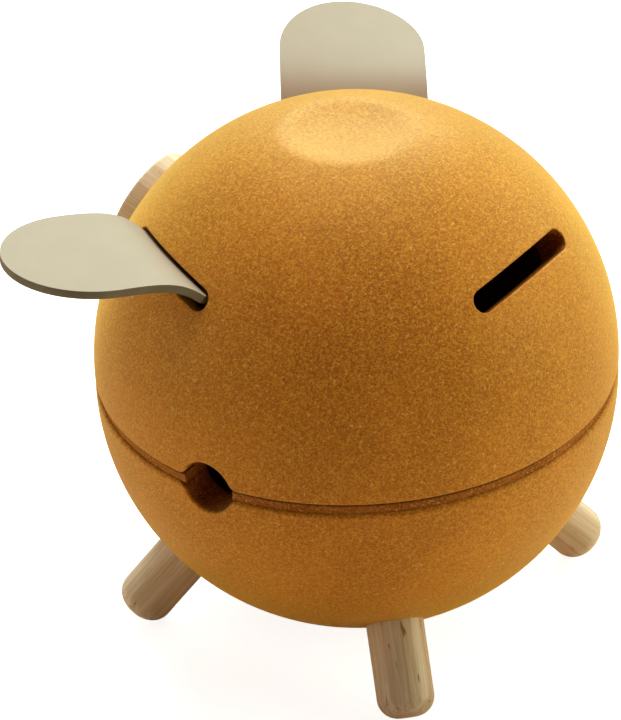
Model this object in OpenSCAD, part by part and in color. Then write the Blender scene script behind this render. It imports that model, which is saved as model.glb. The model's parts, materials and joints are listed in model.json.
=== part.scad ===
// Pig-shaped money box: a hollow pressed-wood ball in two halves that lift apart
// at a grooved seam, on four round legs, with a dowel snout and two flexible ears.
// The pig looks towards -Y, its left side is +X, and the floor is z = 0.

/* [Body] */
// Outer diameter of the ball
body_d = 115; // [105:1:125]
// Thickness of the pressed-wood wall
wall = 8; // [7:0.5:10]
// Height of the straight band between the two domes
band_h = 3.8; // [3.4:0.2:5]
// Height of the groove along the seam
groove_h = 2.6; // [1.6:0.2:3]
// Depth of the groove along the seam
groove_depth = 0.8; // [0.4:0.1:1.5]
// Diameter of the shallow dish in the top
dish_d = 27; // [20:1:34]
// Depth of the dish below its own rim
dish_depth = 1.2; // [0.6:0.1:2]

/* [Lid joint] */
// How far the lower half's spigot stands up into the upper half
spigot_h = 6; // [4:0.5:8]
// Thickness of the spigot
spigot_t = 3.8; // [3:0.1:4.2]
// Gap between the spigot and its socket, on the radius
spigot_gap = 0.3; // [0.2:0.05:0.5]

/* [Openings] */
// Length of the coin slot and of each ear slot, tip to tip
slot_len = 33.6; // [30:0.2:36]
// Width of the coin slot and of each ear slot
slot_w = 5; // [4.4:0.2:5.6]
// Angle of the three slots above the seam
slot_lat = 39.3; // [36:0.1:43]
// Diameter of the finger hole through the seam
finger_d = 12; // [10:0.5:14]

/* [Legs] */
// Diameter of the legs
leg_d = 12.6; // [10:0.2:15]
// Distance from the ball's centre to a leg's foot
leg_reach = 79.3; // [77:0.1:86]
// Angle of the legs below level
leg_tilt = 48; // [46:1:54]
// Angle of the legs to the left and right of the front and the back
leg_turn = 45; // [38:1:52]
// Rounding of the foot's edge
leg_round = 4.5; // [1:0.5:5]
// Depth of the glued socket of a leg, measured from the ball's surface
leg_socket = 5.5; // [4:0.5:6]

/* [Snout] */
// Diameter of the snout
snout_d = 24; // [20:1:28]
// How far the snout's face stands out of the dome
snout_out = 2.6; // [2:0.1:6]
// Depth of the snout's glued recess
snout_recess = 4; // [3:0.5:5]
// Angle of the snout above the seam
snout_lat = 23; // [19:1:27]
// Rounding of the snout's front edge
snout_round = 0.8; // [0.4:0.1:1.5]
// Diameter of a nostril
nostril_d = 3.6; // [2.5:0.1:5]
// Distance between the middles of the nostrils
nostril_gap = 9; // [8:0.5:12]

/* [Ears] */
// Width of an ear
ear_w = 33; // [28:0.5:33]
// Thickness of the ear's sheet
ear_t = 1.8; // [1.4:0.1:2.4]
// Straight length between the bend and the middle of the round tip
ear_straight = 3.8; // [2:0.2:14]
// Radius of the bend where the ear leaves the slot
ear_bend_r = 25; // [16:1:30]
// Angle of the ear's outer part above level
ear_level = 5; // [4:0.5:20]
// Angle of each ear round from the front
ear_turn = 59; // [52:0.5:68]
// How much narrower the ear is where it passes through its slot, so that it can swing
ear_waist = 2.4; // [1:0.2:3]
// Width of the tab that holds the ear inside the ball
tab_w = 40; // [38:1:42]
// Length of the tab
tab_l = 7; // [5:0.5:9]

/* [Hidden] */
$fn = 96;
eps = 0.01;

body_r = body_d / 2;
cavity_r = body_r - wall;
// Height of a dome's centre above or below the middle of the seam
dome_z = band_h / 2;
seam_z = groove_h / 2;
neck_r = body_r - groove_depth;
spigot_r = cavity_r + spigot_t;
spigot_top = seam_z + spigot_h;
rim_round = 0.5;

leg_r = leg_d / 2;
leg_flat_r = leg_r - leg_round;
glue_gap = 0.1;
// Distance from the ball's centre to the dome's surface along a leg
leg_surface = body_r + dome_z * sin(leg_tilt);
leg_start = leg_surface - leg_socket;

snout_r = snout_d / 2;
snout_face = body_r + snout_out;
snout_back = body_r - snout_recess;
nostril_depth = 3;

// Height of the seam's middle above the floor, set by the lowest edge of the feet
mid_z = (leg_reach - leg_round) * sin(leg_tilt) + leg_flat_r * cos(leg_tilt) + leg_round;
// How far the snout reaches forward of the ball's axis
snout_front = (snout_face - snout_round) * cos(snout_lat)
    + (snout_r - snout_round) * sin(snout_lat) + snout_round;
// The ball's axis stands behind x = y = 0 so that the whole outline is centred there
axis_y = (snout_front - body_r) / 2;

// Dish: a large ball dips into the dome's top
dish_r = dish_d / 2;
dish_rim_z = dome_z + sqrt(body_r * body_r - dish_r * dish_r);
dish_ball_r = (dish_r * dish_r + dish_depth * dish_depth) / (2 * dish_depth);
dish_ball_z = dish_rim_z - dish_depth + dish_ball_r;

// Ear, in the upright plane through its middle: x outwards, y up from the dome's centre
bend_x = body_r * cos(slot_lat) + ear_bend_r * sin(slot_lat);
bend_y = body_r * sin(slot_lat) - ear_bend_r * cos(slot_lat);
bend_end_x = bend_x - ear_bend_r * sin(ear_level);
bend_end_y = bend_y + ear_bend_r * cos(ear_level);
ear_tip_x = bend_end_x + ear_straight * cos(ear_level);
ear_flat_l = ear_straight + ear_w;
tab_out = sqrt(pow(cavity_r - 1, 2) - pow(tab_w / 2, 2));
tab_in = tab_out - tab_l;
// The waist ends where the ear's sides leave the ball
waist_out = sqrt(pow(body_r, 2) - pow(ear_w / 2, 2)) + 0.9;

wood_orange = [0.86, 0.52, 0.12];
wood_pale = [0.87, 0.73, 0.55];
ear_beige = [0.82, 0.78, 0.69];

// Puts the ball's own frame, with z = 0 in the middle of the seam, into the part's frame
module in_place() {
    translate([0, axis_y, mid_z]) children();
}

// Turns +X to point turn degrees round from the front (towards the pig's left)
// and lift degrees above level
module aim(turn, lift) {
    rotate([0, 0, turn - 90]) rotate([0, -lift, 0]) children();
}

// Round rod along +X from x0 to x1
module rod(r, x0, x1) {
    translate([x0, 0, 0]) rotate([0, 90, 0]) cylinder(h = x1 - x0, r = r);
}

// Cutter of a slot with round ends, along +X
module slot_cutter(x0, x1) {
    reach = slot_len / 2 - slot_w / 2;
    translate([x0, -reach, -slot_w / 2]) cube([x1 - x0, 2 * reach, slot_w]);
    translate([0, reach, 0]) rod(slot_w / 2, x0, x1);
    translate([0, -reach, 0]) rod(slot_w / 2, x0, x1);
}

// The finger hole, half in each shell
module finger_cutter() {
    aim(90, 0) rod(finger_d / 2, cavity_r - 10, body_r + 10);
}

// Outline of the ball's side above z = seam_z, with an eased rim
module dome_outline() {
    intersection() {
        union() {
            translate([0, dome_z]) circle(r = body_r, $fn = 180);
            square([body_r, dome_z]);
        }
        union() {
            translate([0, seam_z + rim_round]) square([body_r + 1, body_r + dome_z]);
            translate([0, seam_z]) square([body_r - rim_round, rim_round + eps]);
            translate([body_r - rim_round, seam_z + rim_round]) circle(r = rim_round, $fn = 32);
        }
    }
}

// Outline of the hollow inside a half
module hollow_outline() {
    translate([0, dome_z]) circle(r = cavity_r, $fn = 180);
    translate([0, -1]) square([cavity_r, dome_z + 1]);
}

module upper_shell() {
    color(wood_orange) in_place() difference() {
        rotate_extrude($fn = 180) difference() {
            dome_outline();
            hollow_outline();
            square([spigot_r + spigot_gap, spigot_top + spigot_gap]);
            translate([0, dish_ball_z]) circle(r = dish_ball_r, $fn = 180);
            translate([-2 * body_r, -body_r]) square([2 * body_r, 4 * body_r]);
        }
        translate([0, 0, dome_z]) {
            aim(180, slot_lat) slot_cutter(cavity_r - 12, body_r + 5);
            aim(ear_turn, slot_lat) slot_cutter(cavity_r - 12, body_r + 5);
            aim(-ear_turn, slot_lat) slot_cutter(cavity_r - 12, body_r + 5);
            aim(0, snout_lat) rod(snout_r + glue_gap, snout_back, body_r + 5);
        }
        finger_cutter();
    }
}

module lower_shell() {
    color(wood_orange) in_place() difference() {
        union() {
            mirror([0, 0, 1]) rotate_extrude($fn = 180) difference() {
                dome_outline();
                hollow_outline();
                translate([-2 * body_r, -body_r]) square([2 * body_r, 4 * body_r]);
            }
            rotate_extrude($fn = 180) {
                translate([cavity_r, -seam_z]) square([neck_r - cavity_r, 2 * seam_z]);
                translate([cavity_r, seam_z]) square([spigot_t, spigot_h]);
            }
        }
        finger_cutter();
        for (turn = [leg_turn, -leg_turn, 180 - leg_turn, 180 + leg_turn]) {
            aim(turn, -leg_tilt) rod(leg_r + glue_gap, leg_start, leg_surface + 5);
        }
    }
}

// Leg: a dowel with a rounded foot, glued into its socket
module leg(turn) {
    color(wood_pale) in_place() aim(turn, -leg_tilt) rotate([0, 90, 0]) rotate_extrude() {
        translate([0, leg_start]) square([leg_r, leg_reach - leg_round - leg_start]);
        translate([0, leg_start]) square([leg_flat_r, leg_reach - leg_start]);
        translate([leg_flat_r, leg_reach - leg_round]) intersection() {
            circle(r = leg_round);
            square(leg_round + 1);
        }
    }
}

module snout() {
    color(wood_pale) in_place() translate([0, 0, dome_z]) aim(0, snout_lat) difference() {
        rotate([0, 90, 0]) rotate_extrude() {
            translate([0, snout_back]) square([snout_r, snout_face - snout_round - snout_back]);
            translate([0, snout_back]) square([snout_r - snout_round, snout_face - snout_back]);
            translate([snout_r - snout_round, snout_face - snout_round]) circle(r = snout_round);
        }
        for (side = [-1, 1]) {
            translate([0, side * nostril_gap / 2, 0])
                rod(nostril_d / 2, snout_face - nostril_depth, snout_face + 1);
        }
    }
}

// Side view of an ear: tab and root straight out of the ball, a bend, then a level part
module ear_side_view() {
    rotate(slot_lat) translate([tab_in, -ear_t / 2]) square([body_r + eps - tab_in, ear_t]);
    translate([bend_x, bend_y]) intersection() {
        difference() {
            circle(r = ear_bend_r + ear_t / 2, $fn = 180);
            circle(r = ear_bend_r - ear_t / 2, $fn = 180);
        }
        polygon([
            [0, 0],
            [-2 * ear_bend_r * sin(slot_lat), 2 * ear_bend_r * cos(slot_lat)],
            [-2 * ear_bend_r * sin(ear_level), 2 * ear_bend_r * cos(ear_level)]
        ]);
    }
    translate([bend_end_x, bend_end_y]) rotate(ear_level)
        translate([-eps, -ear_t / 2]) square([ear_flat_l, ear_t]);
}

// Top view of an ear: the tab inside the ball, the waist, the strip and its round tip
module ear_top_view() {
    tab_side = tab_out * cos(slot_lat);
    strip_start = waist_out * cos(slot_lat);
    waist_w = ear_w - ear_waist;
    translate([0, -tab_w / 2]) square([tab_side, tab_w]);
    translate([0, -waist_w / 2]) square([ear_tip_x, waist_w]);
    translate([strip_start, -ear_w / 2]) square([ear_tip_x - strip_start, ear_w]);
    translate([ear_tip_x, 0]) circle(r = ear_w / 2, $fn = 120);
}

module ear(turn) {
    color(ear_beige) in_place() translate([0, 0, dome_z]) aim(turn, 0) intersection() {
        rotate([90, 0, 0]) linear_extrude(height = tab_w + 2, center = true) ear_side_view();
        linear_extrude(height = 2 * body_r) ear_top_view();
    }
}

module ear_left() { ear(ear_turn); }
module ear_right() { ear(-ear_turn); }
module leg_front_left() { leg(leg_turn); }
module leg_front_right() { leg(-leg_turn); }
module leg_rear_left() { leg(180 - leg_turn); }
module leg_rear_right() { leg(180 + leg_turn); }

upper_shell();
lower_shell();
snout();
ear_left();
ear_right();
leg_front_left();
leg_front_right();
leg_rear_left();
leg_rear_right();
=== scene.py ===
import json
import math

import bpy
import bmesh
from mathutils import Matrix, Vector


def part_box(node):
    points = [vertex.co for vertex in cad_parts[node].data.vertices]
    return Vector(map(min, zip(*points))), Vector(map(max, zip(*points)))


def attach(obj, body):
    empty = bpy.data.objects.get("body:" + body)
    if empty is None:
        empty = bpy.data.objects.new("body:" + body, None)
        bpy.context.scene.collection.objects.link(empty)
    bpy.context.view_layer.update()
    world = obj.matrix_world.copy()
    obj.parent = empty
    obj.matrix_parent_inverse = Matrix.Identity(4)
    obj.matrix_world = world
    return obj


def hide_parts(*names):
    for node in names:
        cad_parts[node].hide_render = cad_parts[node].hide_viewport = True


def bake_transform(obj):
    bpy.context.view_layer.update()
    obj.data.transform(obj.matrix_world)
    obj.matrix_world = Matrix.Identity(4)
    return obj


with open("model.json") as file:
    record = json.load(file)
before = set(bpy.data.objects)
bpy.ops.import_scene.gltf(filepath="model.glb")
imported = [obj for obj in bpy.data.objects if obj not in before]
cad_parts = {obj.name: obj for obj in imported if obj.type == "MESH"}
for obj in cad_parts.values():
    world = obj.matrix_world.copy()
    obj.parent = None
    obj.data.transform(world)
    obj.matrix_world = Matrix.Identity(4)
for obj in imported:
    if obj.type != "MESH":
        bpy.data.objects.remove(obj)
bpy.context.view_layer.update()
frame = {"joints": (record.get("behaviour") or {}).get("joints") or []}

# A pig-shaped money box. Each CAD node is replaced by a finely finished piece of the same
# size: eased slot and seam edges, a soft dish, rounded dowels and thin bendable ears.

MM = 0.001
DETAIL = 1.0     # coarser curves while trying things


# ---------------------------------------------------------------- sizes from the frame

lower_low, lower_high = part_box("lower_shell")
upper_low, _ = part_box("upper_shell")
AXIS_Y = (lower_low.y + lower_high.y) / 2
BALL_R = (lower_high.y - lower_low.y) / 2
GROOVE_H = 2.6 * MM
MID_Z = upper_low.z - GROOVE_H / 2      # height of the middle of the seam
SEAM = GROOVE_H / 2
DOME = MID_Z - BALL_R - lower_low.z     # a dome's centre lies this far from the seam
SPIGOT_TOP = lower_high.z - MID_Z
BALL = Vector((0, AXIS_Y, MID_Z))       # the middle of the ball

# Sizes that a box can't give, as in the CAD model
WALL = 8 * MM
CAVITY_R = BALL_R - WALL
NECK_R = BALL_R - 0.8 * MM
SPIGOT_R = CAVITY_R + 3.8 * MM
SPIGOT_GAP = 0.3 * MM
SPIGOT_ROUND = 0.6 * MM
SHELL_STEPS = 360                       # faces round the shells
UPPER_RIM = 0.45 * MM                   # round of the upper half's rim at the seam
LOWER_RIM = (0.75 * MM, 1.1 * MM)       # the lower one is sanded softer: inwards and down
NECK_ROUND = 0.35 * MM
CHAMFER = 0.4 * MM
DISH_R = 13.5 * MM
DISH_DEPTH = 1.2 * MM
DISH_EASE = 2.2 * MM                    # the dish's rim is sanded soft
SLOT_LEN = 33.6 * MM
SLOT_W = 5 * MM
SLOT_LAT = math.radians(39.3)
SLOT_TILT = math.radians(5)             # the slots are cut a little steeper than the radius
SLOT_EASE = 0.3 * MM
FINGER_R = 6 * MM
FINGER_EASE = 0.6 * MM
FINGER_CORNERS = (2.0 * MM, 3.0 * MM)   # where the hole meets the seam, above and below it
LEG_R = 6.3 * MM
LEG_ROUND = 4.5 * MM
LEG_REACH = 79.3 * MM
LEG_TILT = math.radians(48)
LEG_TURN = 45
LEG_SURFACE = BALL_R + DOME * math.sin(LEG_TILT)    # where a leg's axis leaves the ball
LEG_SOCKET = 5.5 * MM
LEG_CHAMFER = 0.5 * MM
GLUE_GAP = 0.1 * MM
SOCKET_EASE = 0.25 * MM
SNOUT_R = 12 * MM
SNOUT_LAT = math.radians(23)
SNOUT_FACE = BALL_R + 2.6 * MM
SNOUT_BACK = BALL_R - 4 * MM
SNOUT_ROUND = 0.8 * MM
NOSTRIL_R = 1.8 * MM
NOSTRIL_GAP = 9 * MM
NOSTRIL_DEPTH = 3 * MM
NOSTRIL_EASE = 0.5 * MM
EAR_W = 33 * MM
EAR_T = 1.8 * MM
EAR_WAIST = 2.4 * MM
EAR_LENGTH = 36 * MM                    # from the ball's surface to the tip
EAR_TIP = 18.8 * MM                     # of that, the round tip
EAR_BEND = 6.9 * MM                     # how soon the sheet bends out of its slot
EAR_LEVEL = math.radians(6.4)
EAR_RISE = 0.7 * MM                     # from the slot's middle to the middle of the sheet
EAR_EASE = 0.22 * MM
EAR_WIDEN = 1.2 * MM                    # the waist widens to the full width over this length
TAB_W = 40 * MM
TAB_L = 7 * MM
TAB_CORNER = 1.5 * MM
LEG_TURNS = {
    "leg_front_left": LEG_TURN,
    "leg_front_right": -LEG_TURN,
    "leg_rear_left": 180 - LEG_TURN,
    "leg_rear_right": 180 + LEG_TURN,
}

# How the pieces sit compared with their true places, in degrees, as on a handmade toy.
# An ear is turned about the ball, leans, and twists towards its tip.
EAR_SEAT = {"ear_left": (1.8, -3.4, -1.8), "ear_right": (1.0, 2.6, 6.0)}
COIN_SLOT_SEAT = -1.5
LEG_SEAT = {"leg_rear_left": -1.6}

# The ears' joints give the place of their slots
ear_joints = {j["child"]: Vector(j["pos_m"]) for j in frame["joints"] if j["child"].startswith("ear_")}
ear_spot = ear_joints["ear_left"] - BALL
EAR_TURN = math.degrees(math.atan2(ear_spot.x, -ear_spot.y))


def aim(turn, lift, centre):
    """Matrix that turns +X to point turn degrees round from the front (towards the pig's
    left) and lift radians above level, with its origin at centre."""
    around = Matrix.Rotation(math.radians(turn - 90), 4, "Z")
    up = Matrix.Rotation(-lift, 4, "Y")
    return Matrix.Translation(centre) @ around @ up


def arc(cx, cy, r, start, end, steps):
    """Points of an arc in a plane, angles in degrees."""
    n = max(2, round(steps * DETAIL))
    out = []
    for i in range(n + 1):
        a = math.radians(start + (end - start) * i / n)
        out.append((cx + r * math.cos(a), cy + r * math.sin(a)))
    return out


# ---------------------------------------------------------------- mesh helpers

def new_object(name, verts, faces, materials, face_materials=None):
    """Mesh object in the scene, with a material index for each face."""
    mesh = bpy.data.meshes.new(name)
    mesh.from_pydata(verts, [], faces)
    for material in materials:
        mesh.materials.append(material)
    if face_materials:
        mesh.polygons.foreach_set("material_index", face_materials)
    mesh.update()
    obj = bpy.data.objects.new(name, mesh)
    bpy.context.scene.collection.objects.link(obj)
    return obj


def finish_shading(obj, angle=12):
    """Smooth shading, with an edge kept sharp where its faces meet at more than angle."""
    mesh = obj.data
    mesh.polygons.foreach_set("use_smooth", [True] * len(mesh.polygons))
    mesh.set_sharp_from_angle(angle=math.radians(angle))
    mesh.update()


def lathe(name, outline, steps, materials, axis="Z"):
    """Closed solid of revolution. outline runs from the axis round to the axis as
    (r, z, material of the band that starts here)."""
    n = round(steps * DETAIL)
    outline = [p for i, p in enumerate(outline)
               if i == 0 or math.dist(p[:2], outline[i - 1][:2]) > 1e-6]
    angles = [2 * math.pi * i / n for i in range(n)]
    verts, rings = [], []
    for r, z, _ in outline:
        if r < 1e-7:
            rings.append([len(verts)] * n)
            verts.append((0, 0, z))
        else:
            rings.append(list(range(len(verts), len(verts) + n)))
            verts += [(r * math.cos(a), r * math.sin(a), z) for a in angles]
    faces, marks = [], []
    for k in range(len(rings) - 1):
        a, b = rings[k], rings[k + 1]
        for i in range(n):
            j = (i + 1) % n
            corners = [a[i], b[i], b[j], a[j]]
            faces.append([v for m, v in enumerate(corners) if v not in corners[:m]])
            marks.append(outline[k][2])
    if axis == "X":
        verts = [(z, x, y) for x, y, z in verts]
    obj = new_object(name, verts, faces, materials, marks)
    fix_normals(obj)
    return obj


def fix_normals(obj):
    """Turns all faces outwards."""
    bm = bmesh.new()
    bm.from_mesh(obj.data)
    bmesh.ops.recalc_face_normals(bm, faces=bm.faces)
    bm.to_mesh(obj.data)
    bm.free()


def loft(name, loops, materials, loop_materials):
    """Closed solid through loops of equally many points, capped at both ends."""
    n = len(loops[0])
    verts = [p for loop in loops for p in loop]
    faces, marks = [list(range(n))[::-1]], [loop_materials[0]]
    for k in range(len(loops) - 1):
        for i in range(n):
            j = (i + 1) % n
            faces.append([k * n + i, k * n + j, (k + 1) * n + j, (k + 1) * n + i])
            marks.append(loop_materials[k])
    faces.append([(len(loops) - 1) * n + i for i in range(n)])
    marks.append(loop_materials[-1])
    obj = new_object(name, verts, faces, materials, marks)
    fix_normals(obj)
    return obj


def section_normals(section):
    """Outward unit normals at the points of a closed counter-clockwise section."""
    n = len(section)
    out = []
    for i in range(n):
        (ax, ay), (bx, by) = section[i - 1], section[(i + 1) % n]
        dx, dy = bx - ax, by - ay
        length = math.hypot(dx, dy) or 1
        out.append((dy / length, -dx / length))
    return out


def eased_cutter(name, section, start, surface, ease, materials, stop_angle=80, inner=None):
    """Cutter along +X whose mouth flares in a quarter round of radius ease where it meets
    the surface x = surface(y, z), so that the cut has an eased edge. It tapers to the
    section inner, of equally many points, at its start."""
    normals = section_normals(section)

    def loop(offset, depth):
        points = []
        for (y, z), (ny, nz) in zip(section, normals):
            yy, zz = y + offset * ny, z + offset * nz
            points.append((surface(yy, zz) - depth, yy, zz))
        return points

    loops = [[(start, y, z) for y, z in inner or section]]
    marks = [1]
    steps = 8
    for k in range(steps + 1):
        a = math.radians(stop_angle * k / steps)
        loops.append(loop(ease * (1 - math.cos(a)), ease * (1 - math.sin(a))))
        marks.append(0)
    a = math.radians(stop_angle)
    run = 0.5 * ease
    end_offset = ease * (1 - math.cos(a)) + run * math.sin(a)
    end_depth = ease * (1 - math.sin(a)) - run * math.cos(a)
    loops.append(loop(end_offset, end_depth))
    marks.append(0)
    far = BALL_R + 6 * MM
    loops.append([(far, y, z) for _, y, z in loops[-1]])
    marks.append(0)
    return loft(name, loops, materials, marks)


def cut(obj, *cutters):
    """Takes the cutters away from obj, with the exact solver, and removes them."""
    for cutter in cutters:
        step = obj.modifiers.new("cut", "BOOLEAN")
        step.operation = "DIFFERENCE"
        step.solver = "EXACT"
        step.object = cutter
        step.material_mode = "INDEX"
    apply_modifiers(obj)
    for cutter in cutters:
        bpy.data.objects.remove(cutter)


def apply_modifiers(obj):
    bpy.context.view_layer.update()
    graph = bpy.context.evaluated_depsgraph_get()
    mesh = bpy.data.meshes.new_from_object(obj.evaluated_get(graph))
    obj.modifiers.clear()
    obj.data = mesh


def place(piece, matrix, body, node):
    """Puts a finished piece in place, on its body, for its CAD node."""
    piece.matrix_world = matrix
    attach(piece, body)
    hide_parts(node)
    return piece


# ---------------------------------------------------------------- materials

class Nodes:
    """Short way to write a node tree."""

    def __init__(self, name):
        self.material = bpy.data.materials.new(name)
        self.material.use_nodes = True
        self.tree = self.material.node_tree
        self.tree.nodes.clear()
        self.out = self.tree.nodes.new("ShaderNodeOutputMaterial")
        self.shader = self.tree.nodes.new("ShaderNodeBsdfPrincipled")
        self.tree.links.new(self.shader.outputs[0], self.out.inputs[0])

    def add(self, kind, **values):
        node = self.tree.nodes.new(kind)
        for key, value in values.items():
            setattr(node, key, value)
        return node

    def link(self, source, target):
        self.tree.links.new(source, target)

    def uniform(self, values):
        """Sets sockets of the shader that are the same all over the surface."""
        for name, value in values.items():
            self.shader.inputs[name].default_value = value

    def coords(self, scale=(1, 1, 1), turn=(0, 0, 0), shift=(0, 0, 0)):
        """Object coordinates in millimetres, turned, then stretched."""
        coord = self.add("ShaderNodeTexCoord")
        turned = self.add("ShaderNodeMapping")
        turned.inputs["Rotation"].default_value = turn
        turned.inputs["Scale"].default_value = (1000, 1000, 1000)
        turned.inputs["Location"].default_value = shift
        self.link(coord.outputs["Object"], turned.inputs["Vector"])
        if tuple(scale) == (1, 1, 1):
            return turned.outputs[0]
        stretched = self.add("ShaderNodeMapping")
        stretched.inputs["Scale"].default_value = scale
        self.link(turned.outputs[0], stretched.inputs["Vector"])
        return stretched.outputs[0]

    def noise(self, vector, scale, detail=3, rough=0.5, distort=0.0):
        node = self.add("ShaderNodeTexNoise")
        node.inputs["Scale"].default_value = scale
        node.inputs["Detail"].default_value = detail
        node.inputs["Roughness"].default_value = rough
        node.inputs["Distortion"].default_value = distort
        self.link(vector, node.inputs["Vector"])
        return node.outputs["Fac"]

    def ramp(self, value, low, high):
        """0 below low, 1 above high, smooth between."""
        node = self.add("ShaderNodeMapRange", interpolation_type="SMOOTHSTEP")
        node.inputs["From Min"].default_value = low
        node.inputs["From Max"].default_value = high
        self.link(value, node.inputs["Value"])
        return node.outputs["Result"]

    def math(self, operation, a, b=None):
        node = self.add("ShaderNodeMath", operation=operation)
        for socket, value in zip(node.inputs, (a, b)):
            if value is None:
                continue
            if isinstance(value, (int, float)):
                socket.default_value = value
            else:
                self.link(value, socket)
        return node.outputs[0]

    def mix(self, factor, a, b, blend="MIX"):
        node = self.add("ShaderNodeMix", data_type="RGBA", blend_type=blend)
        sockets = (node.inputs[0], node.inputs[6], node.inputs[7])     # factor and colours
        for socket, value in zip(sockets, (factor, a, b)):
            if isinstance(value, (int, float)):
                socket.default_value = value
            elif isinstance(value, tuple):
                socket.default_value = (*value, 1)
            else:
                self.link(value, socket)
        return node.outputs[2]

    def bump(self, height, distance, strength=1.0, below=None):
        node = self.add("ShaderNodeBump")
        node.inputs["Strength"].default_value = strength
        node.inputs["Distance"].default_value = distance
        self.link(height, node.inputs["Height"])
        if below is not None:
            self.link(below, node.inputs["Normal"])
        return node.outputs[0]


def fibres(n, scale, stretch, turns, low, high):
    """Short fibres lying every way: thresholded stretched noise at several turns."""
    total = None
    for turn in turns:
        vector = n.coords((1, 1, stretch), turn, (17 * turn[0], 11 * turn[1], 5 * turn[2]))
        mask = n.ramp(n.noise(vector, scale, 1.5, 0.5, 0.3), low, high)
        total = mask if total is None else n.math("MAXIMUM", total, mask)
    return total


# Turns for the fibres, and the tones of a new face and of a machined one: two of the base,
# then the pale and the dark grain
EVERY_WAY = [(0.0, 0.3, 0.0), (0.9, 0.2, 0.4), (1.6, 0.1, 1.2), (2.3, 0.7, 0.5), (0.4, 1.5, 2.1)]
FACE_TONES = ((0.52, 0.160, 0.020), (0.62, 0.204, 0.025), (0.84, 0.52, 0.06), (0.20, 0.049, 0.005))
CORE_TONES = ((0.32, 0.095, 0.015), (0.42, 0.140, 0.024), (0.58, 0.27, 0.08), (0.12, 0.03, 0.006))
FLECK_TONE = (0.95, 0.64, 0.16)
SPECK_TONE = (0.12, 0.035, 0.008)
DUST_TONE = (0.95, 0.62, 0.14)
# Painted shade in the groove right under the upper rim
SEAM_SHADE_TONE = (0.03, 0.008, 0.003)
DOWEL_TONES = ((0.70, 0.63, 0.42), (0.93, 0.92, 0.78))
DOWEL_GRAIN_TONE = (0.52, 0.41, 0.23)
DOWEL_PORE_TONE = (0.20, 0.095, 0.035)
SHEET_TONES = ((0.403, 0.386, 0.328), (0.419, 0.404, 0.344))
# The sheet's cut edge: darker, partly its own colour and partly painted shade
SHEET_EDGE_AND_SHADE_TONES = ((0.19, 0.205, 0.150), (0.25, 0.270, 0.200))
SHEET_CLOUD_TONE = (0.5, 0.44, 0.33)


def painted_seam_shade(n):
    """1 in the groove's floor right under the upper rim, where the rim's overhang is painted in as
    shade.
    """
    height = n.add("ShaderNodeSeparateXYZ")
    n.link(n.coords(), height.inputs[0])
    below = n.math("SUBTRACT", SEAM / MM, height.outputs["Z"])
    radius = n.add("ShaderNodeVectorMath", operation="LENGTH")
    n.link(n.coords((1, 1, 0)), radius.inputs[0])
    outside = n.ramp(radius.outputs["Value"], NECK_R / MM - 0.6, NECK_R / MM - 0.1)
    return n.math("MULTIPLY", n.ramp(n.math("ABSOLUTE", below), 1.1, 0.5), outside)


def pressed_wood(name, machined=False):
    """Sawdust pressed with dye: orange-yellow, full of short pale fibres and a few dark
    ones. Machined faces are the darker raw core, with cutter lines upright to the seam."""
    n = Nodes(name)
    mm = n.coords()
    deep, warm, pale_tone, dark_tone = CORE_TONES if machined else FACE_TONES
    tone = n.noise(mm, 0.05, 2)
    grain = n.noise(mm, 1.9, 3, 0.55)
    dust = n.noise(mm, 4.2, 2, 0.6)
    base = n.mix(n.ramp(tone, 0.35, 0.65), deep, warm)
    base = n.mix(n.math("MULTIPLY", n.ramp(grain, 0.50, 0.70), 0.55), base, pale_tone)
    base = n.mix(n.math("MULTIPLY", n.ramp(grain, 0.50, 0.32), 0.50), base, dark_tone)
    pale = fibres(n, 2.4, 0.40, EVERY_WAY, 0.60, 0.70)
    colour = n.mix(n.math("MULTIPLY", pale, 0.60), base, pale_tone)
    fleck = fibres(n, 2.0, 0.45, EVERY_WAY[:4], 0.66, 0.76)
    colour = n.mix(n.math("MULTIPLY", fleck, 0.75), colour, FLECK_TONE)
    speck = fibres(n, 1.2, 0.45, EVERY_WAY[2:], 0.735, 0.78)
    colour = n.mix(n.math("MULTIPLY", speck, 0.62), colour, SPECK_TONE)
    colour = n.mix(n.math("MULTIPLY", n.ramp(dust, 0.52, 0.75), 0.16), colour, DUST_TONE)
    # Machined faces get painted shade in the groove right under the upper rim
    if machined:
        colour = n.mix(n.math("MULTIPLY", painted_seam_shade(n), 0.85), colour, SEAM_SHADE_TONE)
    n.link(colour, n.shader.inputs["Base Color"])
    gloss = n.math("MULTIPLY_ADD", grain, 0.14)
    gloss.node.inputs[2].default_value = 0.70 if machined else 0.48
    n.link(gloss, n.shader.inputs["Roughness"])
    n.uniform({
        "Specular IOR Level": 0.15 if machined else 0.45,
        "Specular Tint": (0.95, 1.0, 0.20, 1),
        "Sheen Weight": 0.15 if machined else 0.60,
        "Sheen Roughness": 0.55,
        "Sheen Tint": (1.0, 0.85, 0.14, 1),
        "Coat Weight": 0.0 if machined else 0.22,
        "Coat Roughness": 0.28,
        "Coat IOR": 1.25,
    })
    surface = n.bump(grain, 0.012 * MM, 0.5)
    surface = n.bump(pale, 0.010 * MM, 0.5, surface)
    if machined:
        lines = n.noise(n.coords((1, 1, 0.02)), 2.2, 2)
        surface = n.bump(lines, 0.12 * MM, 0.8, surface)
    n.link(surface, n.shader.inputs["Normal"])
    return n.material


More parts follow.
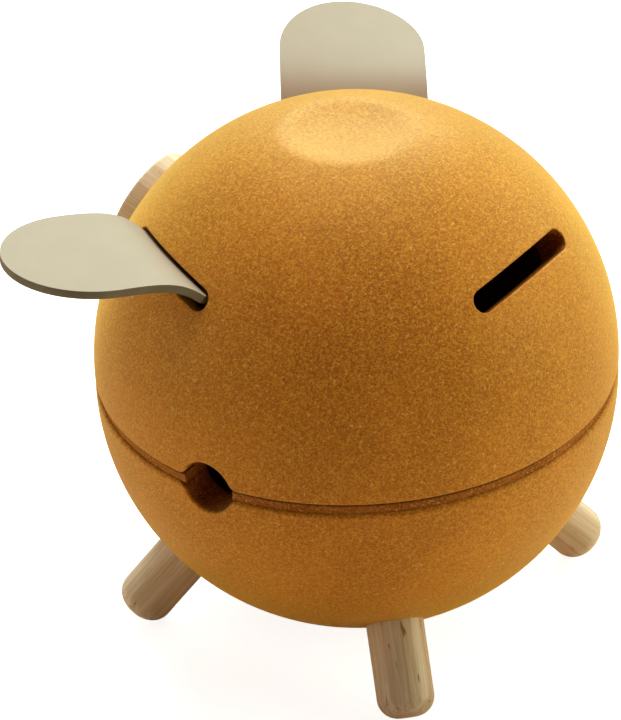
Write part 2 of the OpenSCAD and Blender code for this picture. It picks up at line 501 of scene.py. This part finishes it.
def rubberwood(name, seed):
    """Pale dowel wood: soft streaks and short dark pores along the local X axis."""
    n = Nodes(name)
    shift = (seed * 31.7, seed * 17.3, seed * 5.9)
    along = (0.045, 1, 1)
    streak = n.noise(n.coords(along, (0, 0, 0), shift), 0.55, 4, 0.6, 0.4)
    fine = n.noise(n.coords((0.03, 1, 1), (0, 0, 0), shift), 2.6, 3, 0.6)
    base = n.mix(n.ramp(streak, 0.33, 0.68), *DOWEL_TONES)
    grain = n.mix(n.math("MULTIPLY", n.ramp(fine, 0.42, 0.7), 0.36), base, DOWEL_GRAIN_TONE)
    pore_noise = n.noise(n.coords((0.16, 1, 1), (0, 0, 0), shift), 1.15, 1, 0.5)
    pore = n.ramp(pore_noise, 0.69, 0.76)
    colour = n.mix(n.math("MULTIPLY", pore, 0.75), grain, DOWEL_PORE_TONE)
    n.link(colour, n.shader.inputs["Base Color"])
    rough = n.math("MULTIPLY_ADD", streak, 0.15)
    rough.node.inputs[2].default_value = 0.45
    n.link(rough, n.shader.inputs["Roughness"])
    n.uniform({"Specular IOR Level": 0.4, "Sheen Weight": 0.45, "Sheen Roughness": 0.4})
    surface = n.bump(fine, 0.03 * MM, 0.5)
    dents = n.math("SUBTRACT", 1.0, pore)
    surface = n.bump(dents, 0.08 * MM, 0.7, surface)
    n.link(surface, n.shader.inputs["Normal"])
    return n.material


def ear_sheet(name, edge=False):
    """Smooth flexible greige sheet with a soft touch. The cut edge is rougher and darker: partly its
    own colour, partly painted shade.
    """
    n = Nodes(name)
    mm = n.coords()
    cloud = n.noise(mm, 0.12, 3)
    skin = n.noise(mm, 4.0, 3, 0.6)
    # The cut edge's darker tones are partly painted shade
    base = n.mix(n.ramp(cloud, 0.3, 0.7), *(SHEET_EDGE_AND_SHADE_TONES if edge else SHEET_TONES))
    colour = n.mix(n.math("MULTIPLY", n.ramp(skin, 0.45, 0.7), 0.12), base, SHEET_CLOUD_TONE)
    n.link(colour, n.shader.inputs["Base Color"])
    rough = n.math("MULTIPLY_ADD", skin, 0.12)
    rough.node.inputs[2].default_value = 0.62 if edge else 0.5
    n.link(rough, n.shader.inputs["Roughness"])
    n.uniform({"Specular IOR Level": 0.35, "Sheen Weight": 0.12, "Sheen Roughness": 0.4})
    surface = n.bump(skin, 0.012 * MM, 0.6)
    if edge:
        layers = n.noise(n.coords((0.4, 0.4, 1)), 3.0, 2)
        surface = n.bump(layers, 0.08 * MM, 0.6, surface)
    n.link(surface, n.shader.inputs["Normal"])
    return n.material


WOOD = pressed_wood("pressed_wood_face")
CORE = pressed_wood("pressed_wood_core", machined=True)
SHELL = [WOOD, CORE]


# ---------------------------------------------------------------- the ball's two shells

def dome_surface(side):
    """x of the ball's surface over (y, z), seen along X. side is 1 for the upper half."""
    def surface(y, z):
        h = max(0.0, side * z - DOME)
        return math.sqrt(max(1e-9, BALL_R ** 2 - y * y - h * h))
    return surface


def round_surface(y, z):
    """x of a dome's surface, seen from the dome's centre."""
    return math.sqrt(max(1e-9, BALL_R ** 2 - y * y - z * z))


def tilted_surface(y, z):
    """The same, seen along a slot, which is cut a little steeper than the radius there."""
    x, up = BALL_R * (1 - math.cos(SLOT_TILT)), BALL_R * math.sin(SLOT_TILT)
    return x + math.sqrt(max(1e-9, BALL_R ** 2 - y * y - (z - up) ** 2))


def slot_aim(turn, origin):
    """Frame of a slot: like aim, but tilted about the slot's middle on the surface."""
    middle = Matrix.Translation((BALL_R, 0, 0))
    tilt = middle @ Matrix.Rotation(-SLOT_TILT, 4, "Y") @ middle.inverted()
    return aim(turn, SLOT_LAT, origin) @ tilt


def slot_section(length, width):
    """Outline of a slot with round ends, counter-clockwise."""
    reach = length / 2 - width / 2
    r = width / 2
    right = arc(reach, 0, r, -90, 90, 20)
    left = arc(-reach, 0, r, 90, 270, 20)
    straight = 24
    top = [(reach - 2 * reach * i / straight, r) for i in range(1, straight)]
    bottom = [(-reach + 2 * reach * i / straight, -r) for i in range(1, straight)]
    return right + top + left + bottom


def finger_section(corner):
    """The upper half of the finger hole, with round corners where it meets the seam."""
    c = math.sqrt((FINGER_R + corner) ** 2 - (SEAM + corner) ** 2)
    lean = math.degrees(math.atan2(SEAM + corner, c))
    top = arc(0, 0, FINGER_R, lean, 180 - lean, 40)
    right = arc(c, SEAM + corner, corner, 270, 180 + lean, 8)
    left = arc(-c, SEAM + corner, corner, -lean, -90, 8)
    return [(c, -2 * MM)] + right + top[1:-1] + left + [(-c, -2 * MM)]


def low_finger_section(corner):
    """The finger hole in the lower half: round above the seam's rim, softer corners below."""
    below = [(y, -z) for y, z in finger_section(corner)[1:-1]]
    lean = math.degrees(math.asin(SEAM / FINGER_R))
    return arc(0, 0, FINGER_R, -lean, 180 + lean, 50) + below[::-1]


def socket_cutter(name, r, start, materials):
    """Round cutter along +X with a hairline chamfer at the ball's surface."""
    section = arc(0, 0, r, 0, 360, 96)[:-1]
    return eased_cutter(name, section, start, round_surface, SOCKET_EASE, materials)


def turned(points, mark):
    """Points of a lathe's outline, all of one material."""
    return [(r, z, mark) for r, z in points]


def outer_dome():
    """The upper half's outside from the dish down to the eased rim at the seam."""
    rim_z = DOME + math.sqrt(BALL_R ** 2 - DISH_R ** 2)
    dish_r = (DISH_R ** 2 + DISH_DEPTH ** 2) / (2 * DISH_DEPTH)
    dish_z = rim_z - DISH_DEPTH + dish_r
    inner = math.degrees(math.asin((DISH_R - DISH_EASE) / dish_r))
    outer = math.degrees(math.asin((DISH_R + DISH_EASE) / BALL_R))
    dish = arc(0, dish_z, dish_r, -90, -90 + inner, 12)
    start = dish[-1]
    dome = arc(0, DOME, BALL_R, 90 - outer, 0, 150)
    end = dome[0]
    slope_a = math.tan(math.radians(inner))
    slope_b = -math.tan(math.radians(outer))
    soft = []                            # a smooth curve that joins the dish and the dome
    steps = max(4, round(14 * DETAIL))
    span = end[0] - start[0]
    for i in range(1, steps):
        t = i / steps
        h00 = 2 * t ** 3 - 3 * t ** 2 + 1
        h10 = t ** 3 - 2 * t ** 2 + t
        h01 = -2 * t ** 3 + 3 * t ** 2
        h11 = t ** 3 - t ** 2
        z = h00 * start[1] + h10 * span * slope_a + h01 * end[1] + h11 * span * slope_b
        soft.append((start[0] + span * t, z))
    rim = arc(BALL_R - UPPER_RIM, SEAM + UPPER_RIM, UPPER_RIM, 0, -90, 8)
    return dish + soft + dome + rim


def make_upper_shell():
    """Half of the ball with the dish, the three slots, the snout's recess and a wide mouth
    for the spigot."""
    cavity_edge = SPIGOT_TOP + SPIGOT_GAP
    socket_r = SPIGOT_R + SPIGOT_GAP
    lowest = math.degrees(math.asin((cavity_edge - DOME) / CAVITY_R))
    outline = turned(outer_dome(), 0)
    outline[-1] = (*outline[-1][:2], 1)
    outline += turned([(socket_r + CHAMFER, SEAM), (socket_r, SEAM + CHAMFER)], 1)
    outline += turned([(socket_r, cavity_edge)] + arc(0, DOME, CAVITY_R, lowest, 90, 60), 1)
    shell = lathe("upper_half_shell", outline, SHELL_STEPS, SHELL)
    local = Vector((0, 0, DOME))
    left_slot = EAR_TURN + EAR_SEAT["ear_left"][0]
    right_slot = -EAR_TURN + EAR_SEAT["ear_right"][0]
    for turn in (180 + COIN_SLOT_SEAT, left_slot, right_slot):
        cutter = eased_cutter("slot_cutter", slot_section(SLOT_LEN, SLOT_W), CAVITY_R - 12 * MM,
                              tilted_surface, SLOT_EASE, SHELL)
        cutter.matrix_world = slot_aim(turn, local)
        cut(shell, cutter)
    recess = socket_cutter("snout_cutter", SNOUT_R + GLUE_GAP, SNOUT_BACK, SHELL)
    recess.matrix_world = aim(0, SNOUT_LAT, local)
    finger = eased_cutter("finger_cutter", finger_section(FINGER_CORNERS[0]), CAVITY_R - 10 * MM,
                          dome_surface(1), FINGER_EASE, SHELL)
    cut(shell, recess, finger)
    finish_shading(shell)
    return place(shell, Matrix.Translation(BALL), "upper_half", "upper_shell")


def make_lower_shell():
    """Half of the ball with the groove's neck, the spigot and the four leg sockets."""
    lip_r, lip_h = LOWER_RIM
    lowest = math.degrees(math.asin((SEAM + lip_h - DOME) / BALL_R))
    outline = turned([(r, -z) for r, z in arc(0, DOME, BALL_R, 90, lowest, 160)], 0)
    outline += [(BALL_R - lip_r + lip_r * x, -SEAM - lip_h + lip_h * y, 0)
                for x, y in arc(0, 0, 1, 0, 90, 12)]
    outline[-1] = (*outline[-1][:2], 1)
    outline += turned([(NECK_R, -SEAM)], 1)
    outline += turned(arc(NECK_R - NECK_ROUND, SEAM - NECK_ROUND, NECK_ROUND, 0, 90, 4), 1)
    top = SPIGOT_TOP - SPIGOT_ROUND
    outline += turned([(SPIGOT_R, SEAM), (SPIGOT_R, top)], 1)
    outline += turned(arc(SPIGOT_R - SPIGOT_ROUND, top, SPIGOT_ROUND, 0, 90, 5), 1)
    outline += turned([(CAVITY_R + CHAMFER, SPIGOT_TOP), (CAVITY_R, SPIGOT_TOP - CHAMFER)], 1)
    outline += turned([(r, -z) for r, z in arc(0, DOME, CAVITY_R, 0, 90, 70)], 1)
    shell = lathe("lower_half_shell", outline, SHELL_STEPS, SHELL)
    finger = eased_cutter("finger_cutter", low_finger_section(FINGER_CORNERS[1]), CAVITY_R - 1 * MM,
                          dome_surface(-1), FINGER_EASE, SHELL, inner=low_finger_section(0.2 * MM))
    cut(shell, finger)
    for node, turn in LEG_TURNS.items():
        section = arc(0, 0, LEG_R + GLUE_GAP, 0, 360, 96)[:-1]
        ends = (LEG_SURFACE - LEG_SOCKET, LEG_SURFACE + 5 * MM)
        loops = [[(x, y, z) for y, z in section] for x in ends]
        socket = loft("leg_cutter", loops, SHELL, [1, 1])
        socket.matrix_world = aim(turn + LEG_SEAT.get(node, 0), -LEG_TILT, Vector((0, 0, 0)))
        cut(shell, socket)
    finish_shading(shell)
    return place(shell, Matrix.Translation(BALL), "lower_half", "lower_shell")


# ---------------------------------------------------------------- legs and snout

def make_leg(node, turn, seed):
    """A dowel with a well rounded foot, lying along its own X axis."""
    start = LEG_SURFACE - LEG_SOCKET
    flat = LEG_R - LEG_ROUND
    outline = [(0, start), (LEG_R - LEG_CHAMFER, start), (LEG_R, start + LEG_CHAMFER)]
    shaft = LEG_REACH - LEG_ROUND - start - LEG_CHAMFER
    outline += [(LEG_R, start + LEG_CHAMFER + shaft * i / 12) for i in range(1, 12)]
    outline += arc(flat, LEG_REACH - LEG_ROUND, LEG_ROUND, 0, 90, 18)
    outline += [(flat / 2, LEG_REACH), (0, LEG_REACH)]
    wood = rubberwood(node + "_wood", seed)
    leg = lathe(node + "_dowel", turned(outline, 0), 96, [wood], axis="X")
    finish_shading(leg, 30)
    turn += LEG_SEAT.get(node, 0)
    return place(leg, aim(turn, -LEG_TILT, BALL), "lower_half", node)


def make_snout():
    """A slice of dowel with an eased face and two nostrils."""
    outline = [(0, SNOUT_BACK), (SNOUT_R - CHAMFER, SNOUT_BACK), (SNOUT_R, SNOUT_BACK + CHAMFER)]
    outline += arc(SNOUT_R - SNOUT_ROUND, SNOUT_FACE - SNOUT_ROUND, SNOUT_ROUND, 0, 90, 10)
    outline += [(SNOUT_R * k / 8, SNOUT_FACE) for k in (7, 6, 5, 4, 3, 2, 1, 0)]
    wood = rubberwood("snout_wood", 5)
    snout = lathe("snout_disc", turned(outline, 0), 160, [wood, wood], axis="X")
    for side in (-1, 1):
        section = arc(side * NOSTRIL_GAP / 2, 0, NOSTRIL_R, 0, 360, 64)[:-1]
        hole = eased_cutter("nostril_cutter", section, SNOUT_FACE - NOSTRIL_DEPTH,
                            lambda y, z: SNOUT_FACE, NOSTRIL_EASE, [wood, wood])
        cut(snout, hole)
    finish_shading(snout, 14)
    matrix = aim(0, SNOUT_LAT, BALL + Vector((0, 0, DOME)))
    return place(snout, matrix, "upper_half", "snout")


# ---------------------------------------------------------------- ears

def ear_path(s):
    """(x, z, slope) of the ear's middle at s, its distance along the sheet from the ball's
    surface, in the upright plane of the ear, from the dome's centre."""
    way = SLOT_LAT + SLOT_TILT
    x = BALL_R * math.cos(SLOT_LAT) - EAR_RISE * math.sin(way)
    z = BALL_R * math.sin(SLOT_LAT) + EAR_RISE * math.cos(way)
    if s <= 0:
        return x + s * math.cos(way), z + s * math.sin(way), way
    steps = max(1, round(s / (0.25 * MM)))
    step = s / steps
    for i in range(steps):
        slope = ear_slope((i + 0.5) * step)
        x += step * math.cos(slope)
        z += step * math.sin(slope)
    return x, z, ear_slope(s)


def ear_slope(s):
    """The sheet leaves its slot straight and bends most close to the ball."""
    return EAR_LEVEL + (SLOT_LAT + SLOT_TILT - EAR_LEVEL) * math.exp(-(s / EAR_BEND) ** 1.5)


def ear_rows():
    """(s, half width) of the rows of the ear's flat pattern: tab, waist, strip and tip."""
    tab_out = math.sqrt((CAVITY_R - 1 * MM) ** 2 - (TAB_W / 2) ** 2) - BALL_R
    tab_in = tab_out - TAB_L
    rows = []
    for a in (0, 22.5, 45, 67.5, 90):
        k = math.radians(a)
        along = tab_in + TAB_CORNER * (1 - math.cos(k))
        rows.append((along, TAB_W / 2 - TAB_CORNER * (1 - math.sin(k))))
    waist = (EAR_W - EAR_WAIST) / 2
    waist_out = math.sqrt(BALL_R ** 2 - (EAR_W / 2) ** 2) - BALL_R
    rows += [(tab_out, TAB_W / 2), (tab_out + 0.2 * MM, waist), (waist_out, waist)]
    start = waist_out + EAR_WIDEN
    for k in (0.25, 0.5, 0.75):
        rows.append((waist_out + EAR_WIDEN * k, waist + (EAR_W / 2 - waist) * k * k * (3 - 2 * k)))
    tip = EAR_LENGTH - EAR_TIP
    steps = 40
    rows += [(start + (tip - start) * i / steps, EAR_W / 2) for i in range(steps + 1)]
    rows += [(tip + EAR_TIP * math.sin(math.radians(a)), EAR_W / 2 * math.cos(math.radians(a)))
             for a in range(3, 89, 3)]
    return rows


def make_ear(name, side):
    """One ear as it sits in its slot: turned a little, leaning and twisted, as soft sheet
    does. side is 1 for the pig's left."""
    turn, lean, twist = EAR_SEAT[name]
    rows = ear_rows()
    across = 24
    verts, faces = [], []
    for s, half in rows:
        x, z, slope = ear_path(s)
        free = max(0.0, s)
        roll = math.radians(twist) * free / EAR_LENGTH
        aside = free * math.tan(math.radians(lean))
        for k in range(across + 1):
            y = half * math.sin((2 * k / across - 1) * math.pi / 2) + aside
            up = y * math.sin(roll)
            verts.append((x - up * math.sin(slope), y * math.cos(roll), z + up * math.cos(slope)))
    for i in range(len(rows) - 1):
        for k in range(across):
            a = i * (across + 1) + k
            faces.append([a, a + across + 1, a + across + 2, a + 1])
    ear = new_object(name + "_sheet", verts, faces, [EAR_FACE, EAR_EDGE])
    fix_normals(ear)
    thick = ear.modifiers.new("thick", "SOLIDIFY")
    thick.thickness = EAR_T
    thick.offset = 0
    thick.material_offset_rim = 1
    thick.use_even_offset = True
    ease = ear.modifiers.new("ease", "BEVEL")
    ease.width = EAR_EASE
    ease.segments = 3
    ease.limit_method = "ANGLE"
    ease.angle_limit = math.radians(60)
    apply_modifiers(ear)
    finish_shading(ear, 40)
    ear.matrix_world = aim(side * EAR_TURN + turn, 0, BALL + Vector((0, 0, DOME)))
    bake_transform(ear)
    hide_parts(name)
    return ear


EAR_FACE = ear_sheet("ear_face")
EAR_EDGE = ear_sheet("ear_cut_edge", edge=True)

make_upper_shell()
make_lower_shell()
for number, (node, turn) in enumerate(LEG_TURNS.items()):
    make_leg(node, turn, number + 1)
make_snout()
make_ear("ear_left", 1)
make_ear("ear_right", -1)


# ---------------------------------------------------------------- camera, light and floor

VIEW_TURN = math.radians(124.2)         # round from the front, towards the pig's left
VIEW_LIFT = 0.576
VIEW_ROLL = 0.0361
VIEW_DISTANCE = 0.7504
LENS = 170.6                            # on the usual 36 mm sensor
OFF_RIGHT = math.radians(0.770)         # the ball stands a little right of the middle
OFF_UP = math.radians(0.020)
# Soft lights: (right, up, back) from the ball in metres, size, power and colour
LIGHTS = {
    "top_light": ((0.0, 1.2, -0.4), 1.0, 11.7, (1, 0.74, 0.62)),
    "back_light": ((0.1, 0.85, -1.22), 1.0, 19, (0.86, 1, 0.78)),
    "right_light": ((1.3, 0.4, 0.15), 0.8, 5.3, (1, 0.92, 0.58)),
    "right_back_light": ((1.2, 0.6, -0.7), 0.8, 3.0, (1, 0.96, 0.82)),
    "right_top_light": ((0.9, 1.1, 0.1), 0.9, 2.0, (1, 0.60, 0.50)),
    "left_light": ((-1.3, 0.4, 0.15), 0.8, 3.6, (1, 0.77, 0.58)),
}
WORLD_FADE = (-0.8, 0.0)                # from straight behind the ball to square to the view
WORLD_LIGHT = (0.55, 0.0)
FLOOR_TONES = ((0.72, 0.90, 0.97), (0.74, 0.92, 0.99))
FLOOR_BOUNCE_TONE = (0.91, 0.70, 0.54)
FLOOR_HALF = 3.0


def view_axes():
    """Right, up and back of the camera while it looks at the ball, before its roll."""
    back = Vector((math.sin(VIEW_TURN) * math.cos(VIEW_LIFT),
                   -math.cos(VIEW_TURN) * math.cos(VIEW_LIFT), math.sin(VIEW_LIFT)))
    right = Vector((math.cos(VIEW_TURN), math.sin(VIEW_TURN), 0))
    return right, back.cross(right), back


def add_camera():
    """Long lens at the photo's viewing angle, a little rolled."""
    right, up, back = view_axes()
    turn = Matrix((right, up, back)).transposed().to_4x4()
    turn = turn @ Matrix.Rotation(-VIEW_ROLL, 4, "Z")
    turn = turn @ Matrix.Rotation(OFF_RIGHT, 4, "Y") @ Matrix.Rotation(-OFF_UP, 4, "X")
    data = bpy.data.cameras.new("camera")
    data.lens = LENS
    data.sensor_width = 36
    data.clip_end = 20
    camera = bpy.data.objects.new("camera", data)
    camera.matrix_world = Matrix.Translation(BALL + back * VIEW_DISTANCE) @ turn
    bpy.context.scene.collection.objects.link(camera)
    bpy.context.scene.camera = camera


def add_softbox(name, spot, size, power, colour):
    """A square soft light at spot, given as (right, up, back) of the view, aimed at the ball."""
    right, _, back = view_axes()
    level_back = Vector((back.x, back.y, 0)).normalized()
    where = BALL + right * spot[0] + Vector((0, 0, spot[1])) + level_back * spot[2]
    data = bpy.data.lights.new(name, "AREA")
    data.shape = "SQUARE"
    data.size = size
    data.energy = power
    data.color = colour
    light = bpy.data.objects.new(name, data)
    light.rotation_euler = (BALL - where).to_track_quat("-Z", "Y").to_euler()
    light.location = where
    bpy.context.scene.collection.objects.link(light)


def add_floor():
    """Pale paper, which throws warm light and looks whiter to the camera."""
    n = Nodes("floor_paper")
    tone = n.noise(n.coords(), 0.01, 2)
    seen = n.add("ShaderNodeLightPath").outputs["Is Camera Ray"]
    paper = n.mix(tone, *FLOOR_TONES)
    n.link(n.mix(seen, FLOOR_BOUNCE_TONE, paper), n.shader.inputs["Base Color"])
    n.uniform({"Roughness": 0.9, "Emission Color": (1, 1, 1, 1)})
    n.link(n.math("MULTIPLY", seen, 0.85), n.shader.inputs["Emission Strength"])
    corners = [(-FLOOR_HALF, -FLOOR_HALF, 0), (FLOOR_HALF, -FLOOR_HALF, 0),
               (FLOOR_HALF, FLOOR_HALF, 0), (-FLOOR_HALF, FLOOR_HALF, 0)]
    floor = new_object("floor", corners, [[0, 1, 2, 3]], [n.material])


def add_world():
    """White surroundings, dim on the camera's side, as in a studio with a white back."""
    world = bpy.data.worlds.new("studio")
    world.use_nodes = True
    tree = world.node_tree
    background = tree.nodes["Background"]
    background.inputs["Color"].default_value = (1, 1, 1, 1)
    coord = tree.nodes.new("ShaderNodeTexCoord")
    towards = tree.nodes.new("ShaderNodeVectorMath")
    towards.operation = "DOT_PRODUCT"
    towards.inputs[1].default_value = view_axes()[2]
    fade = tree.nodes.new("ShaderNodeMapRange")
    fade.interpolation_type = "SMOOTHSTEP"
    fade.inputs["From Min"].default_value = WORLD_FADE[0]
    fade.inputs["From Max"].default_value = WORLD_FADE[1]
    fade.inputs["To Min"].default_value = WORLD_LIGHT[0]
    fade.inputs["To Max"].default_value = WORLD_LIGHT[1]
    tree.links.new(coord.outputs["Generated"], towards.inputs[0])
    tree.links.new(towards.outputs["Value"], fade.inputs["Value"])
    seen = tree.nodes.new("ShaderNodeLightPath")
    strength = tree.nodes.new("ShaderNodeMath")
    strength.operation = "MAXIMUM"
    tree.links.new(fade.outputs["Result"], strength.inputs[0])
    tree.links.new(seen.outputs["Is Camera Ray"], strength.inputs[1])
    tree.links.new(strength.outputs[0], background.inputs["Strength"])
    bpy.context.scene.world = world


add_camera()
for light_name, light in LIGHTS.items():
    add_softbox(light_name, *light)
add_floor()
add_world()
bpy.context.scene.view_settings.view_transform = "Standard"
